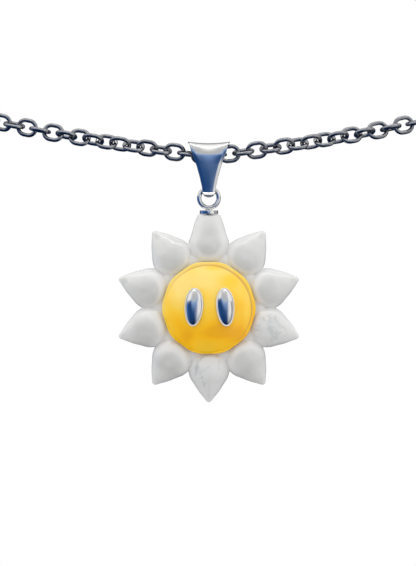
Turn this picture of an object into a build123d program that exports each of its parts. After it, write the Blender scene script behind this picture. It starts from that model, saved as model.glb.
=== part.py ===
from build123d import *
from bisect import bisect_left
import math
import os

# A flower pendant on its neck chain.
# Millimetres, +Z up. The front faces -Y, and +X is the viewer's right.
# The origin is on the neck's axis, level with the chain at the nape.

# Loop of the chain, along the middle of the links
loop_half_width = 68.5
loop_half_depth = 61.5
loop_fullness = 0.06
drape_rise = 26.5
nape_rise = 35.0
dip_rounding = 0.02

# Chain links, of round wire
link_wire = 0.75
link_width = 3.37
link_pitch_wanted = 2.48
link_gap = 0.12
twist_quarters_left = 7
twist_quarters_right = 6

# Clasp at the nape, a plain barrel with an eye at each end
clasp_barrel_length = 6.0
clasp_barrel_width = 3.2
clasp_eye_width = 3.4
clasp_edge = 0.5

# Bail, a tapered strip folded over the chain
bail_drop = 5.94
bail_wall = 0.45
bail_bend_wall = 1.12
bail_chain_clearance = 0.16
bail_flare = 0.3
bail_half_width = 3.83
bail_neck_rise = 0.35
bail_neck_angle = 63.0
bail_neck_edge = 0.18

# Ring, its cap and the peg below the cap
ring_width = 4.3
ring_wire = 0.8
ring_clearance = 0.12
solder_height = 0.1
solder_width = 1.7
solder_reach = 0.45
cap_width = 3.3
cap_height = 0.68
cap_edge = 0.15
peg_width = 0.9
peg_length = 3.2
peg_clearance = 0.08
seat_gap = 0.08

# Petals, one carving
petal_count = 10
petal_half_width = 3.7
petal_ball_reach = 11.05
petal_point = 17.6
petal_tip = 0.84
petal_flatness = 0.72
top_petal_point = 21.0
top_petal_reach = 16.75
hub_width = 20.4
hub_depth = 3.0
hub_edge = 0.8

# Yellow centre, a ten-sided plate with a dome on it
centre_across_flats = 16.6
centre_corner = 3.0
centre_plate_back = 1.1
centre_plate_front = 2.75
centre_plate_edge = 0.35
dome_width = 15.7
dome_rise = 2.15

# Oval studs on the dome
stud_width = 3.3
stud_height = 6.86
stud_upper_share = 0.46
stud_bulge = 0.95
stud_spacing = 5.56
stud_lean = 4.0
stud_rise = 0.16
stud_gap = 0.05

# Places that follow from the sizes
route_steps = 4000
front_y = -loop_half_depth
full_rise = drape_rise * (math.hypot(1, dip_rounding) - dip_rounding) + nape_rise
front_z = -full_rise
pivot_z = front_z - bail_drop
ring_radius = (ring_width - ring_wire) / 2
ring_z = pivot_z - ring_radius
cap_top = ring_z - ring_width / 2 - solder_height
cap_bottom = cap_top - cap_height
flower_z = cap_bottom - seat_gap - top_petal_reach
petal_step = 360 / petal_count
dome_radius = ((dome_width / 2) ** 2 + dome_rise**2) / (2 * dome_rise)
dome_front = centre_plate_front + dome_rise
dome_middle = Vector(0, front_y - dome_front + dome_radius, flower_z)


def route_point(turn):
    """The chain's middle line, with turn 0 at the front and pi at the nape."""
    # Seen from above the loop is an oval that is a little flatter at its front and sides
    across = (math.sin(turn) + loop_fullness * math.sin(3 * turn)) / (1 - loop_fullness)
    ahead = (math.cos(turn) - loop_fullness * math.cos(3 * turn)) / (1 - loop_fullness)
    half_sine = math.sin(turn / 2)
    drape = drape_rise * (math.hypot(half_sine, dip_rounding) - dip_rounding)
    lift = nape_rise * abs(half_sine) ** 3
    return Vector(
        loop_half_width * across,
        -loop_half_depth * ahead,
        front_z + drape + lift,
    )


# Length along the route from the front to each step of half the loop
route_turns = [math.pi * step / route_steps for step in range(route_steps + 1)]
route_lengths = [0.0]
for before, after in zip(route_turns, route_turns[1:]):
    step_length = (route_point(after) - route_point(before)).length
    route_lengths.append(route_lengths[-1] + step_length)
half_loop = route_lengths[-1]


def turn_at(distance):
    """The turn at a signed distance from the front, right of it when positive."""
    upper = min(max(bisect_left(route_lengths, abs(distance)), 1), route_steps)
    span = route_lengths[upper] - route_lengths[upper - 1]
    share = (abs(distance) - route_lengths[upper - 1]) / span
    turn = route_turns[upper - 1] + share * (route_turns[upper] - route_turns[upper - 1])
    return math.copysign(turn, distance)


# Pitch of the links: a whole number of groups of four fits between the clasp's eyes
clasp_eye_radius = (clasp_eye_width - link_wire) / 2
clasp_eye_x = clasp_barrel_length / 2 + clasp_eye_radius
clasp_end = clasp_eye_x + clasp_eye_radius
link_middle_wanted = link_pitch_wanted + link_gap + link_wire
end_distance = half_loop - (clasp_end - link_wire - link_gap) - link_middle_wanted / 2
link_count = 4 * round(end_distance / (2 * link_pitch_wanted))
link_pitch = 2 * end_distance / (link_count - 1)
link_length = link_pitch + link_gap + 2 * link_wire


def link_place(index):
    """Where a link sits: its length along the route, rolled a quarter from the last."""
    distance = (index + 0.5 - link_count / 2) * link_pitch
    turn = turn_at(distance)
    ahead = (route_point(turn + 0.001) - route_point(turn - 0.001)).normalized()
    sideways = ahead.cross(Vector(0, 0, 1)).normalized()
    quarters = twist_quarters_right if distance > 0 else twist_quarters_left
    roll = 90 * (index + 1) + 90 * quarters * abs(distance) / end_distance
    face = sideways.rotate(Axis((0, 0, 0), ahead), roll)
    return Plane(origin=route_point(turn), x_dir=ahead, z_dir=face).location


os.makedirs("parts", exist_ok=True)

# Chain: one link is drawn, and copied along the route
link_bend = (link_width - link_wire) / 2
link_straight = (link_length - link_width) / 2
with BuildPart() as link:
    with BuildLine() as link_line:
        Line((-link_straight, link_bend), (link_straight, link_bend))
        CenterArc((link_straight, 0), link_bend, 90, -180)
        Line((link_straight, -link_bend), (-link_straight, -link_bend))
        CenterArc((-link_straight, 0), link_bend, -90, -180)
    with BuildSketch(Plane(origin=(-link_straight, link_bend, 0), z_dir=(1, 0, 0))):
        Circle(link_wire / 2)
    sweep(path=link_line.wire())

with BuildPart() as chain:
    with Locations([link_place(index) for index in range(link_count)]):
        add(link.part)
chain.part.label = "chain"
export_step(chain.part, "parts/chain.step")

# Clasp
clasp_middle = route_point(math.pi)
with BuildPart() as clasp:
    with Locations(Location(clasp_middle, (0, 90, 0))):
        Cylinder(clasp_barrel_width / 2, clasp_barrel_length)
    fillet(clasp.edges().filter_by(GeomType.CIRCLE), clasp_edge)
    with Locations(clasp_middle - (clasp_eye_x, 0, 0), clasp_middle + (clasp_eye_x, 0, 0)):
        Torus(clasp_eye_radius, link_wire / 2)
clasp.part.label = "clasp"
export_step(clasp.part, "parts/clasp.step")


# Bail
bail_passage = link_width / 2 + bail_chain_clearance
bail_slot = ring_wire / 2 + ring_clearance
bail_stations = (-1.0, -0.5, 0.0, 0.5, 1.0)
bail_reach = bail_half_width + bail_wall


def bail_section(station, wall, bend_wall):
    """The bail's teardrop outline, seen from its side, at a share of its half width."""
    top = bail_passage + bail_flare * station**2 + wall
    bottom = bail_slot + bend_wall
    lean = math.asin((top - bottom) / bail_drop)
    side = Vector(math.cos(lean), -math.sin(lean))
    mirror_side = Vector(-math.cos(lean), -math.sin(lean))
    low = Vector(0, -bail_drop)
    plane = Plane(
        origin=(station * bail_reach, front_y, front_z), x_dir=(0, 1, 0), z_dir=(1, 0, 0)
    )
    with BuildSketch(plane) as section:
        with BuildLine():
            ThreePointArc(mirror_side * top, (0, top), side * top)
            Line(side * top, low + side * bottom)
            ThreePointArc(low + side * bottom, low - (0, bottom), low + mirror_side * bottom)
            Line(low + mirror_side * bottom, mirror_side * top)
        make_face()
    return section.sketch


# Front outline of the strip: share of its half width, and height from the chain's middle
bail_top_z = bail_passage + bail_flare + bail_wall
strip_bottom_z = bail_neck_rise - bail_drop
bail_outline = [
    (1.0, bail_top_z),
    (0.79, 0.0),
    (0.60, 0.30 * strip_bottom_z),
    (0.46, 0.67 * strip_bottom_z),
    (0.30, strip_bottom_z),
]

# Section of the neck under the strip, as wide as the ring's hole allows: half width, and
# depth from the middle of the ring's wire
hole_room = ring_width / 2 - ring_wire - ring_clearance
neck_depth = bail_slot + bail_bend_wall
neck_sides = [
    (hole_room * math.sin(angle), ring_radius - hole_room * math.cos(angle))
    for angle in (0, math.radians(30), math.radians(bail_neck_angle))
]
neck_half_width = neck_sides[-1][0]
neck_right = neck_sides + [
    (neck_half_width, neck_depth - bail_neck_edge),
    (neck_half_width - bail_neck_edge, neck_depth),
]
neck_left = [(-x, depth) for x, depth in reversed(neck_right[1:])]

with BuildPart() as bail:
    loft([bail_section(share, bail_wall, bail_bend_wall) for share in bail_stations])
    loft([bail_section(share, 0, 0) for share in bail_stations], mode=Mode.SUBTRACT)
    with BuildSketch(Plane.XZ.offset(-front_y)):
        with BuildLine():
            right = [(share * bail_half_width, front_z + z) for share, z in bail_outline]
            left = [(-x, z) for x, z in reversed(right)]
            Spline(right)
            Line(right[-1], left[0])
            Spline(left)
            Line(left[-1], right[0])
        make_face()
    extrude(amount=2 * bail_reach, both=True, mode=Mode.INTERSECT)
    # The neck goes down in front, under the ring's wire and up behind
    with BuildSketch(Plane.XY.offset(pivot_z), mode=Mode.PRIVATE) as neck_section:
        with BuildLine():
            Polyline([(x, front_y - depth) for x, depth in neck_right + neck_left], close=True)
        make_face()
    ring_wire_line = Axis((0, front_y, pivot_z), (1, 0, 0))
    revolve(neck_section.sketch, axis=ring_wire_line, revolution_arc=180)
    neck_front = extrude(neck_section.sketch, amount=bail_neck_rise)
    mirror(neck_front, about=Plane.XZ.offset(-front_y))
bail.part.label = "bail"
export_step(bail.part, "parts/bail.step")


# Ring soldered on its cap, with the peg that holds the flower
with BuildPart() as cap_and_ring:
    with Locations(Location((0, front_y, ring_z), (90, 0, 0))):
        Torus(ring_radius, ring_wire / 2)
    with Locations((0, front_y, cap_top - cap_height / 2)):
        Cylinder(cap_width / 2, cap_height)
    cap_rims = cap_and_ring.edges().filter_by(GeomType.CIRCLE).filter_by_position(
        Axis.Z, cap_bottom - cap_edge, cap_top + cap_edge
    )
    fillet(cap_rims, cap_edge)
    with Locations((0, front_y, cap_top)):
        Cone(
            solder_width / 2,
            ring_wire / 2,
            solder_reach,
            align=(Align.CENTER, Align.CENTER, Align.MIN),
        )
    with Locations((0, front_y, cap_bottom)):
        Cylinder(
            peg_width / 2, peg_length, align=(Align.CENTER, Align.CENTER, Align.MAX)
        )
cap_and_ring.part.label = "cap_and_ring"
export_step(cap_and_ring.part, "parts/cap_and_ring.step")


# Petals: drawn with round drops and flattened from front to back at the end, so what
# has a set depth is drawn deeper by the same share
depth_stretch = 1 / petal_flatness
petal_middle = Vector(0, front_y, flower_z)


def drop(point_reach):
    """A ball drawn out to a rounded point along +Z."""
    lean = math.asin(petal_half_width / (point_reach - petal_ball_reach))
    shoulder = Vector(math.cos(lean), math.sin(lean))
    ball_middle = Vector(0, petal_ball_reach)
    tip_middle = Vector(0, point_reach - petal_tip / math.sin(lean))
    with BuildPart() as body:
        with BuildSketch(Plane.XZ):
            with BuildLine():
                ball = ThreePointArc(
                    ball_middle - (0, petal_half_width),
                    ball_middle + (petal_half_width, 0),
                    ball_middle + shoulder * petal_half_width,
                )
                side = Line(ball @ 1, tip_middle + shoulder * petal_tip)
                tip = RadiusArc(side @ 1, tip_middle + (0, petal_tip), -petal_tip)
                Line(tip @ 1, ball @ 0)
            make_face()
        revolve(axis=Axis.Z)
    return body.part


with BuildPart() as petals:
    with BuildSketch(Plane.XZ):
        Circle(hub_width / 2)
    extrude(amount=hub_depth * depth_stretch / 2, both=True)
    fillet(petals.edges().filter_by(GeomType.CIRCLE), hub_edge)
    add(drop(top_petal_point))
    other_petals = [Location((0, 0, 0), (0, n * petal_step, 0)) for n in range(1, petal_count)]
    with Locations(other_petals):
        add(drop(petal_point))
    # The top petal is cut off square under the cap
    split(bisect_by=Plane.XY.offset(top_petal_reach), keep=Keep.BOTTOM)
    # Seat of the yellow centre, with a wall's corner between each two petals
    with BuildSketch(Plane.XZ.offset((centre_plate_back - seat_gap) * depth_stretch)):
        RegularPolygon(centre_across_flats / 2 + seat_gap, petal_count, major_radius=False)
    extrude(amount=petal_point, mode=Mode.SUBTRACT)
    # Bore of the peg, round once it is flattened
    with BuildSketch(Plane.XY.offset(top_petal_reach)):
        Ellipse(peg_width / 2 + peg_clearance, (peg_width / 2 + peg_clearance) * depth_stretch)
    extrude(amount=-(peg_length + peg_clearance), mode=Mode.SUBTRACT)
    scale(by=(1, petal_flatness, 1))
petals.part.locate(Location(petal_middle))
petals.part.label = "petals"
export_step(petals.part, "parts/petals.step")

# Yellow centre: the plate fills the seat, and the dome stands on it
with BuildPart() as dome:
    with Locations((0, dome_radius - dome_front, 0)):
        Sphere(dome_radius)
    split(bisect_by=Plane.XZ.offset(centre_plate_front), keep=Keep.TOP)

with BuildPart() as yellow_centre:
    with BuildSketch(Plane.XZ.offset(centre_plate_back)) as plate:
        RegularPolygon(centre_across_flats / 2, petal_count, major_radius=False)
        fillet(plate.vertices(), centre_corner)
    extrude(amount=centre_plate_front - centre_plate_back)
    fillet(yellow_centre.faces().sort_by(Axis.Y)[0].edges(), centre_plate_edge)
    add(dome.part)
yellow_centre.part.locate(Location(petal_middle))
yellow_centre.part.label = "yellow_centre"
export_step(yellow_centre.part, "parts/yellow_centre.step")


# Oval studs: egg shapes that stand on the dome, rounder above than below
stud_upper = stud_upper_share * stud_height
stud_lower = stud_height - stud_upper
stud_middle_z = stud_rise + (stud_lower - stud_upper) / 2
stud_turn = math.degrees(math.asin(stud_spacing / 2 / dome_radius))

with BuildPart() as egg:
    with BuildSketch(Plane.XZ):
        with BuildLine():
            EllipticalCenterArc((0, 0), stud_width / 2, stud_upper, 0, arc_size=90)
            EllipticalCenterArc((0, 0), stud_width / 2, stud_lower, 270, arc_size=90)
            Line((0, stud_upper), (0, -stud_lower))
        make_face()
    revolve(axis=Axis.Z)
    scale(by=(1, 2 * stud_bulge / stud_width, 1))

for side, stud_name in ((-1, "oval_stud_left"), (1, "oval_stud_right")):
    place = Location((0, 0, 0), (0, 0, side * stud_turn))
    place *= Location((0, -dome_radius, stud_middle_z), (0, -side * stud_lean, 0))
    with BuildPart() as stud:
        with Locations(place):
            add(egg.part)
        Sphere(dome_radius + stud_gap, mode=Mode.SUBTRACT)
    stud.part.locate(Location(dome_middle))
    stud.part.label = stud_name
    export_step(stud.part, f"parts/{stud_name}.step")
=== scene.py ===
import math
from functools import partial

import bmesh
import bpy
import numpy as np
from mathutils import Matrix, Vector


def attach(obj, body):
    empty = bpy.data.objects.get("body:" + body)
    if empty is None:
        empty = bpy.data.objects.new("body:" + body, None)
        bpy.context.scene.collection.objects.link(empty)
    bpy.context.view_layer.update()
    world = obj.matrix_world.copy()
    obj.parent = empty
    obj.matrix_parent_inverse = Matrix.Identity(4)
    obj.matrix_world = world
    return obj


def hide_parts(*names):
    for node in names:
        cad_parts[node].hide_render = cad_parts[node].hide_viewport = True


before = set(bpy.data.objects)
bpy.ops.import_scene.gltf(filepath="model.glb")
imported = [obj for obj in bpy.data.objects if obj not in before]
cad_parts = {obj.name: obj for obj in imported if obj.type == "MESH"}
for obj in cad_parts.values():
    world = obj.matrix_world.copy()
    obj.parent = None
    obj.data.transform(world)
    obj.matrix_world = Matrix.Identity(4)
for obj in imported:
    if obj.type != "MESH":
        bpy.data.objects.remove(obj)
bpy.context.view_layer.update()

bl_info = {
    "name": "Flower pendant",
    "version": (1, 0, 0),
    "blender": (4, 5, 0),
    "location": "3D View > Sidebar > Flower pendant",
    "description": "A flower pendant on a cable chain, built around its CAD frame",
    "category": "Add Mesh",
}

# Blender works in metres, and the sizes below are in millimetres. Up is z, and y grows to the back
MM = 0.001

# Places of the pieces and sizes that they share, as in the part's source
FRONT_Y = -61.5
DRAPE_RISE = 26.5
NAPE_RISE = 35.0
DIP_ROUNDING = 0.02
FRONT_Z = -(DRAPE_RISE * (math.hypot(1, DIP_ROUNDING) - DIP_ROUNDING) + NAPE_RISE)
LINK_WIDTH = 3.37
BAIL_DROP = 5.94
PIVOT_Z = FRONT_Z - BAIL_DROP
RING_WIDTH = 4.3
RING_WIRE = 0.8
RING_RADIUS = (RING_WIDTH - RING_WIRE) / 2
RING_CLEARANCE = 0.12
RING_Z = PIVOT_Z - RING_RADIUS
CAP_UNDER_RING = 0.1
CAP_TOP = RING_Z - RING_WIDTH / 2 - CAP_UNDER_RING
CAP_HEIGHT = 0.68
CAP_BOTTOM = CAP_TOP - CAP_HEIGHT
SEAT_GAP = 0.08
TOP_REACH = 16.75
FLOWER_Z = CAP_BOTTOM - SEAT_GAP - TOP_REACH
FLOWER_MIDDLE = np.array((0.0, FRONT_Y, FLOWER_Z))
PETAL_COUNT = 10
PETAL_STEP = math.tau / PETAL_COUNT
CENTRE_APOTHEM = 8.2
CENTRE_CORNER = 4.9
PLATE_FRONT = 2.75
DOME_HALF_WIDTH = 7.85
DOME_RISE = 2.15


# Helpers


def linear(code, alpha=1.0):
    """An sRGB hex colour as linear red, green, blue and alpha."""
    values = []
    for start in (1, 3, 5):
        value = int(code[start : start + 2], 16) / 255
        values.append(value / 12.92 if value <= 0.04045 else ((value + 0.055) / 1.055) ** 2.4)
    return (*values, alpha)


def per_metre(millimetres):
    """A pattern's scale, from the real size of its spots or waves."""
    return 1 / (millimetres * MM)


def add_node(tree, kind, inputs=None, stops=None, **settings):
    """Adds a shader node with its settings, inputs or links, and ramp stops, and gives its outputs."""
    node = tree.nodes.new("ShaderNode" + kind)
    for key, value in settings.items():
        setattr(node, key, value)
    for key, value in (inputs or {}).items():
        if isinstance(value, bpy.types.NodeSocket):
            tree.links.new(value, node.inputs[key])
        else:
            node.inputs[key].default_value = value
    if stops:
        elements = node.color_ramp.elements
        while len(elements) < len(stops):
            elements.new(1.0)
        for element, (position, colour) in zip(elements, stops):
            element.position = position
            element.color = colour
    return node.outputs


def node_adder(owner):
    """Empties a material's or world's nodes, and gives the function that adds a node there."""
    owner.use_nodes = True
    owner.node_tree.nodes.clear()
    return partial(add_node, owner.node_tree)


def make_material(finish, *colours):
    """A material named for its finish, a function that adds patterns and gives the shader's inputs."""
    material = bpy.data.materials.new(finish.__name__)
    add = node_adder(material)
    shader = add("BsdfPrincipled", finish(add, add("TexCoord")["Object"], *colours))
    add("OutputMaterial", {"Surface": shader["BSDF"]})
    return material


def grid_faces(rows, columns, close_rows=False):
    """Quads between neighbouring points of a closed band's rows, stored row by row."""
    row = np.arange(rows if close_rows else rows - 1)
    r, c = np.meshgrid(row, np.arange(columns), indexing="ij")
    r_next = (r + 1) % rows
    c_next = (c + 1) % columns
    quads = (r * columns + c, r * columns + c_next, r_next * columns + c_next, r_next * columns + c)
    return np.stack(quads, axis=-1).reshape(-1, 4)


def quarter_turn(steps):
    """Angles over a quarter turn, both ends included."""
    return [math.pi / 2 * step / steps for step in range(steps + 1)]


def full_turn(steps):
    """Angles once round, without the last, which is the first again."""
    return [math.tau * step / steps for step in range(steps)]


def wire_points(line, wire, across, steps):
    """Rings of points round a bent wire, from places on its line and the ways out of its bend."""
    points = []
    for middle, out in line:
        for angle in full_turn(steps):
            off = out * math.cos(angle) + np.array(across) * math.sin(angle)
            points.append(middle + off * wire / 2)
    return np.array(points)


# Points that lie closer than this are one
SAME_POINT = 0.0001


def add_piece(name, shape, material, body, node):
    """A smooth closed mesh, from points in millimetres, faces and attributes, for a CAD node."""
    points, faces, attributes = shape
    mesh = bpy.data.meshes.new(name)
    mesh.from_pydata((np.asarray(points) * MM).tolist(), [], np.asarray(faces).tolist())
    for key, values in attributes.items():
        layer = mesh.attributes.new(key, "FLOAT", "POINT")
        layer.data.foreach_set("value", np.asarray(values, dtype=np.float32))
    work = bmesh.new()
    work.from_mesh(mesh)
    bmesh.ops.remove_doubles(work, verts=work.verts, dist=SAME_POINT * MM)
    bmesh.ops.recalc_face_normals(work, faces=work.faces)
    work.to_mesh(mesh)
    work.free()
    mesh.shade_smooth()
    piece = bpy.data.objects.new(name, mesh)
    bpy.context.scene.collection.objects.link(piece)
    mesh.materials.append(material)
    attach(piece, body)
    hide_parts(node)


def ease(low, high, value):
    """0 below low, 1 above high, and a smooth step between."""
    share = np.clip((value - low) / (high - low), 0, 1)
    return share * share * (3 - 2 * share)


# Materials

# A colour mix node shares its socket names between kinds of data, so its sockets go by number
MIX_FACTOR = 0
MIX_A = 6
MIX_B = 7
MIX_RESULT = 2


def polished_steel_wire(add, place, colour, marked):
    """Drawn steel wire, polished: a dark mirror with handling marks."""
    # Handling marks about 0.6 mm across dull the polish here and there
    marks = add("TexNoise", {"Vector": place, "Scale": per_metre(0.625), "Detail": 3.0})
    gloss = add(
        "MapRange", {"Value": marks["Fac"], "From Min": 0.3, "From Max": 0.7, "To Min": 0.04, "To Max": 0.1}
    )
    tint = add("ValToRGB", {"Fac": marks["Fac"]}, stops=[(0.3, marked), (0.7, colour)])
    return {"Base Color": tint["Color"], "Metallic": 1.0, "Roughness": gloss["Result"]}


def buffed_silver(add, place, colour):
    """Cast silver, buffed to a mirror: soft ripples from the wheel and hairline scratches."""
    # Ripples of the buffing wheel, about 1.5 mm apart
    ripples = add("TexNoise", {"Vector": place, "Scale": per_metre(1.54), "Detail": 1.0})
    bump = add("Bump", {"Height": ripples["Fac"], "Distance": 0.02 * MM, "Strength": 0.35})
    # Hairlines 0.11 mm apart and 1.1 mm long, finer than the render shows one by one
    fine = (per_metre(0.11), per_metre(0.11), per_metre(1.1))
    stretch = add("Mapping", {"Vector": place, "Scale": fine, "Rotation": (0.0, 0.5, 0.0)})
    hairlines = add("TexNoise", {"Vector": stretch["Vector"], "Scale": 1.0, "Detail": 2.0})
    gloss = add(
        "MapRange",
        {"Value": hairlines["Fac"], "From Min": 0.4, "From Max": 0.75, "To Min": 0.03, "To Max": 0.1},
    )
    # The studs' beads are mostly not metallic, so they show white: a painted highlight for the bright rim
    # round each stud
    white_rim = add("Attribute", attribute_name="bead")
    bare = add("MapRange", {"Value": white_rim["Fac"], "To Min": 1.0, "To Max": 0.3})
    return {
        "Base Color": colour,
        "Metallic": bare["Result"],
        "Roughness": gloss["Result"],
        "Normal": bump["Normal"],
    }


def milky_quartz(add, place, rim, core, veil):
    """Tumbled milky quartz: painted shade makes the thick cores greyer than the thin rims, where light
    comes through.
    """
    # Painted shade: the thick cores are greyer, more on their lower sides, with darker spots behind the
    # tips
    thick = add("Attribute", attribute_name="core")
    veiled = add("Attribute", attribute_name="veil")
    # Clouds in the stone, about 3 mm across
    clouds = add("TexNoise", {"Vector": place, "Scale": per_metre(3.03), "Detail": 3.0, "Distortion": 0.6})
    cloud_level = add(
        "MapRange",
        {"Value": clouds["Fac"], "From Min": 0.3, "From Max": 0.7, "To Min": 0.55, "To Max": 1.0},
    )
    cloudy_core_shade = add("Math", {0: thick["Fac"], 1: cloud_level["Result"]}, operation="MULTIPLY")
    body = add("Mix", {MIX_FACTOR: cloudy_core_shade["Value"], MIX_A: rim, MIX_B: core}, data_type="RGBA")
    # Veils of healed cracks, in patches about 2.5 mm across
    patches = add(
        "TexNoise",
        {"Vector": place, "Scale": per_metre(2.5), "Detail": 6.0, "Roughness": 0.72, "Distortion": 0.8},
    )
    patch_level = add(
        "MapRange",
        {"Value": patches["Fac"], "From Min": 0.5, "From Max": 0.62, "To Min": 0.0, "To Max": 0.65},
    )
    veil_level = add("Math", {0: patch_level["Result"], 1: veiled["Fac"]}, operation="MULTIPLY")
    stone = add(
        "Mix", {MIX_FACTOR: veil_level["Value"], MIX_A: body[MIX_RESULT], MIX_B: veil}, data_type="RGBA"
    )
    return {
        "Base Color": stone[MIX_RESULT],
        "Roughness": 0.16,
        "IOR": 1.54,
        "Subsurface Weight": 0.35,
        "Subsurface Radius": (1.0, 1.0, 1.0),
        "Subsurface Scale": 1.2 * MM,
        "Coat Weight": 0.35,
        "Coat Roughness": 0.04,
    }


def yellow_chalcedony(add, place, light, middle, deep, pooled, edge):
    """Dyed chalcedony, ground and polished, with painted light at the upper left, painted shade towards its
    lower edge, painted highlights and shade in soft patches, and a painted shade line round the dome's
    foot.
    """
    # Painted light and shade: lighter at the upper left, deeper towards the lower right, with painted
    # highlights and shade in patches
    pool = add("Attribute", attribute_name="pool")
    # Painted shade: a brown line round the dome's foot, strongest at the upper right
    rim = add("Attribute", attribute_name="edge")
    # Soft swirls of colour, about 6 mm apart
    swirls = add("TexNoise", {"Vector": place, "Scale": per_metre(6.06), "Detail": 1.0, "Distortion": 1.2})
    shift = add(
        "MapRange",
        {"Value": swirls["Fac"], "From Min": 0.3, "From Max": 0.7, "To Min": -0.14, "To Max": 0.14},
    )
    level = add("Math", {0: pool["Fac"], 1: shift["Result"]}, operation="ADD", use_clamp=True)
    dye = [(0.0, light), (0.45, middle), (0.85, deep), (1.0, pooled)]
    body = add("ValToRGB", {"Fac": level["Value"]}, stops=dye)
    shade_lined = add("Mix", {MIX_FACTOR: rim["Fac"], MIX_A: body["Color"], MIX_B: edge}, data_type="RGBA")
    # The polish follows the swirls a little, because the stone isn't evenly hard
    ripple = add("Bump", {"Height": swirls["Fac"], "Distance": 0.2 * MM, "Strength": 0.3})
    return {
        "Base Color": shade_lined[MIX_RESULT],
        "Roughness": 0.2,
        "IOR": 1.54,
        "Subsurface Weight": 0.3,
        "Subsurface Radius": (1.0, 0.7, 0.2),
        "Subsurface Scale": 1.2 * MM,
        "Coat Weight": 0.3,
        "Coat Roughness": 0.05,
        "Coat Normal": ripple["Normal"],
    }


def matt_backdrop_paper(add, place, colour):
    """White backdrop paper: dull, with a fine tooth."""
    tooth = add("TexNoise", {"Vector": place, "Scale": per_metre(1.1), "Detail": 2.0})
    bump = add("Bump", {"Height": tooth["Fac"], "Distance": 0.1 * MM, "Strength": 0.2})
    return {"Base Color": colour, "Roughness": 0.9, "Normal": bump["Normal"]}


# Sizes and colours that a user would change


def sizes_and_colours(settings):
    """A piece's sizes in millimetres, and its colours, both in the order of its settings."""
    values = [getattr(settings, name) for name in type(settings).__annotations__]
    sizes = [value / MM for value in values if isinstance(value, float)]
    return sizes, [value for value in values if not isinstance(value, float)]


def length(name, description, millimetres):
    """A length property, with its default in millimetres."""
    return bpy.props.FloatProperty(
        name=name, description=description, default=millimetres * MM, unit="LENGTH", precision=5
    )


def colour(name, description, code):
    """A colour property, with its default as sRGB hex."""
    return bpy.props.FloatVectorProperty(
        name=name, description=description, default=linear(code), size=4, subtype="COLOR"
    )


class ChainSettings(bpy.types.PropertyGroup):
    wire: length("Wire", "Thickness of the links' wire", 0.75)
    link_width: length("Link width", "Outside width of a link", LINK_WIDTH)
    pitch_wanted: length("Pitch", "Distance from a link to the next, before it is fitted to the loop", 2.48)
    gap: length("Gap", "Room between two links where they hook", 0.12)
    steel: colour("Steel", "Colour of the polished steel", "#A7A8AA")
    marked: colour("Marked steel", "Colour of the steel where handling dulls it", "#8F9093")


class BailSettings(bpy.types.PropertyGroup):
    half_width: length("Half width", "Half the width of the strip at its top", 3.83)
    wall: length("Thickness", "Thickness of the strip over the chain", 0.32)
    bend_wall: length("Bend thickness", "Thickness of the strip under the ring's wire", 1.12)
    flare: length("Flare", "How far the strip's top curls up at its edges", 0.5)
    silver: colour("Silver", "Colour of the polished silver", "#F1F0ED")


class RingSettings(bpy.types.PropertyGroup):
    wire: length("Ring wire", "Thickness of the ring's wire", RING_WIRE)
    cap_width: length("Cap width", "Width of the round cap", 3.3)
    cap_edge: length("Cap edge", "Rounding of the cap's edges", 0.07)


class PetalSettings(bpy.types.PropertyGroup):
    half_width: length("Half width", "Half the width of a petal", 3.7)
    ball_reach: length("Widest at", "Distance from the middle to a petal's widest place", 11.05)
    point: length("Point", "Distance from the middle to where a petal's sides would meet", 17.42)
    top_point: length("Top point", "The same for the top petal, before its end is cut", 21.0)
    tip: length("Tip", "Rounding of a petal's tip", 0.6)
    rim: colour("Rim", "Colour of the stone where it is thin", "#DADAD9")
    # The colour of the painted shade in the thick cores
    core: colour("Core", "Colour of the stone where it is thick", "#C2C2BF")
    veil: colour("Veil", "Colour of the cloudy veils", "#AAAEB0")


class CentreSettings(bpy.types.PropertyGroup):
    across_flats: length("Across flats", "Width of the ten-sided plate", 16.4)
    dome_width: length("Dome width", "Width of the dome on the plate", 15.35)
    dome_rise: length("Dome rise", "Height of the dome on the plate", DOME_RISE)
    # The colours of the painted light and shade: light at the upper left, deep at the lower edge, and
    # darkest where the painted shade is deepest
    light: colour("Light", "Colour at the upper left", "#F6D774")
    middle: colour("Middle", "Colour in the middle", "#FDCD34")
    deep: colour("Deep", "Colour at the lower edge", "#FCBF02")
    pooled: colour("Pooled", "Colour where the dye is deepest", "#F2B000")
    # The colour of the painted shade line round the dome's foot
    edge: colour("Edge", "Colour of the line round the dome's foot", "#C7984A")


class StudSettings(bpy.types.PropertyGroup):
    width: length("Width", "Width of a stud", 3.3)
    height: length("Height", "Height of a stud", 6.86)
    bulge: length("Bulge", "How far a stud stands out", 0.95)
    spacing: length("Spacing", "Distance between the two studs", 5.5)


class StageSettings(bpy.types.PropertyGroup):
    floor_drop: length("Floor", "Distance from the origin down to the floor", 300.0)
    floor_colour: colour("Floor colour", "Colour of the backdrop paper", "#E4E3E1")


# The chain's line, as in the part's source

LOOP_HALF_WIDTH = 68.5
LOOP_HALF_DEPTH = 61.5
LOOP_FULLNESS = 0.06
TWIST_QUARTERS_LEFT = 7
TWIST_QUARTERS_RIGHT = 6
CLASP_BARREL_LENGTH = 6.0
CLASP_EYE_WIDTH = 3.4
ROUTE_STEPS = 4000

LINK_BEND_STEPS = 16
LINK_WIRE_STEPS = 12
# A small turn to either side of a link, for the chain's direction there
LOOK_AHEAD = 0.001


def route_point(turn):
    """The chain's middle line, with turn 0 at the front and pi at the nape."""
    half_sine = math.sin(turn / 2)
    drape = DRAPE_RISE * (math.hypot(half_sine, DIP_ROUNDING) - DIP_ROUNDING)
    lift = NAPE_RISE * abs(half_sine) ** 3
    across = (math.sin(turn) + LOOP_FULLNESS * math.sin(3 * turn)) / (1 - LOOP_FULLNESS)
    ahead = (math.cos(turn) - LOOP_FULLNESS * math.cos(3 * turn)) / (1 - LOOP_FULLNESS)
    return Vector((LOOP_HALF_WIDTH * across, -LOOP_HALF_DEPTH * ahead, FRONT_Z + drape + lift))


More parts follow.
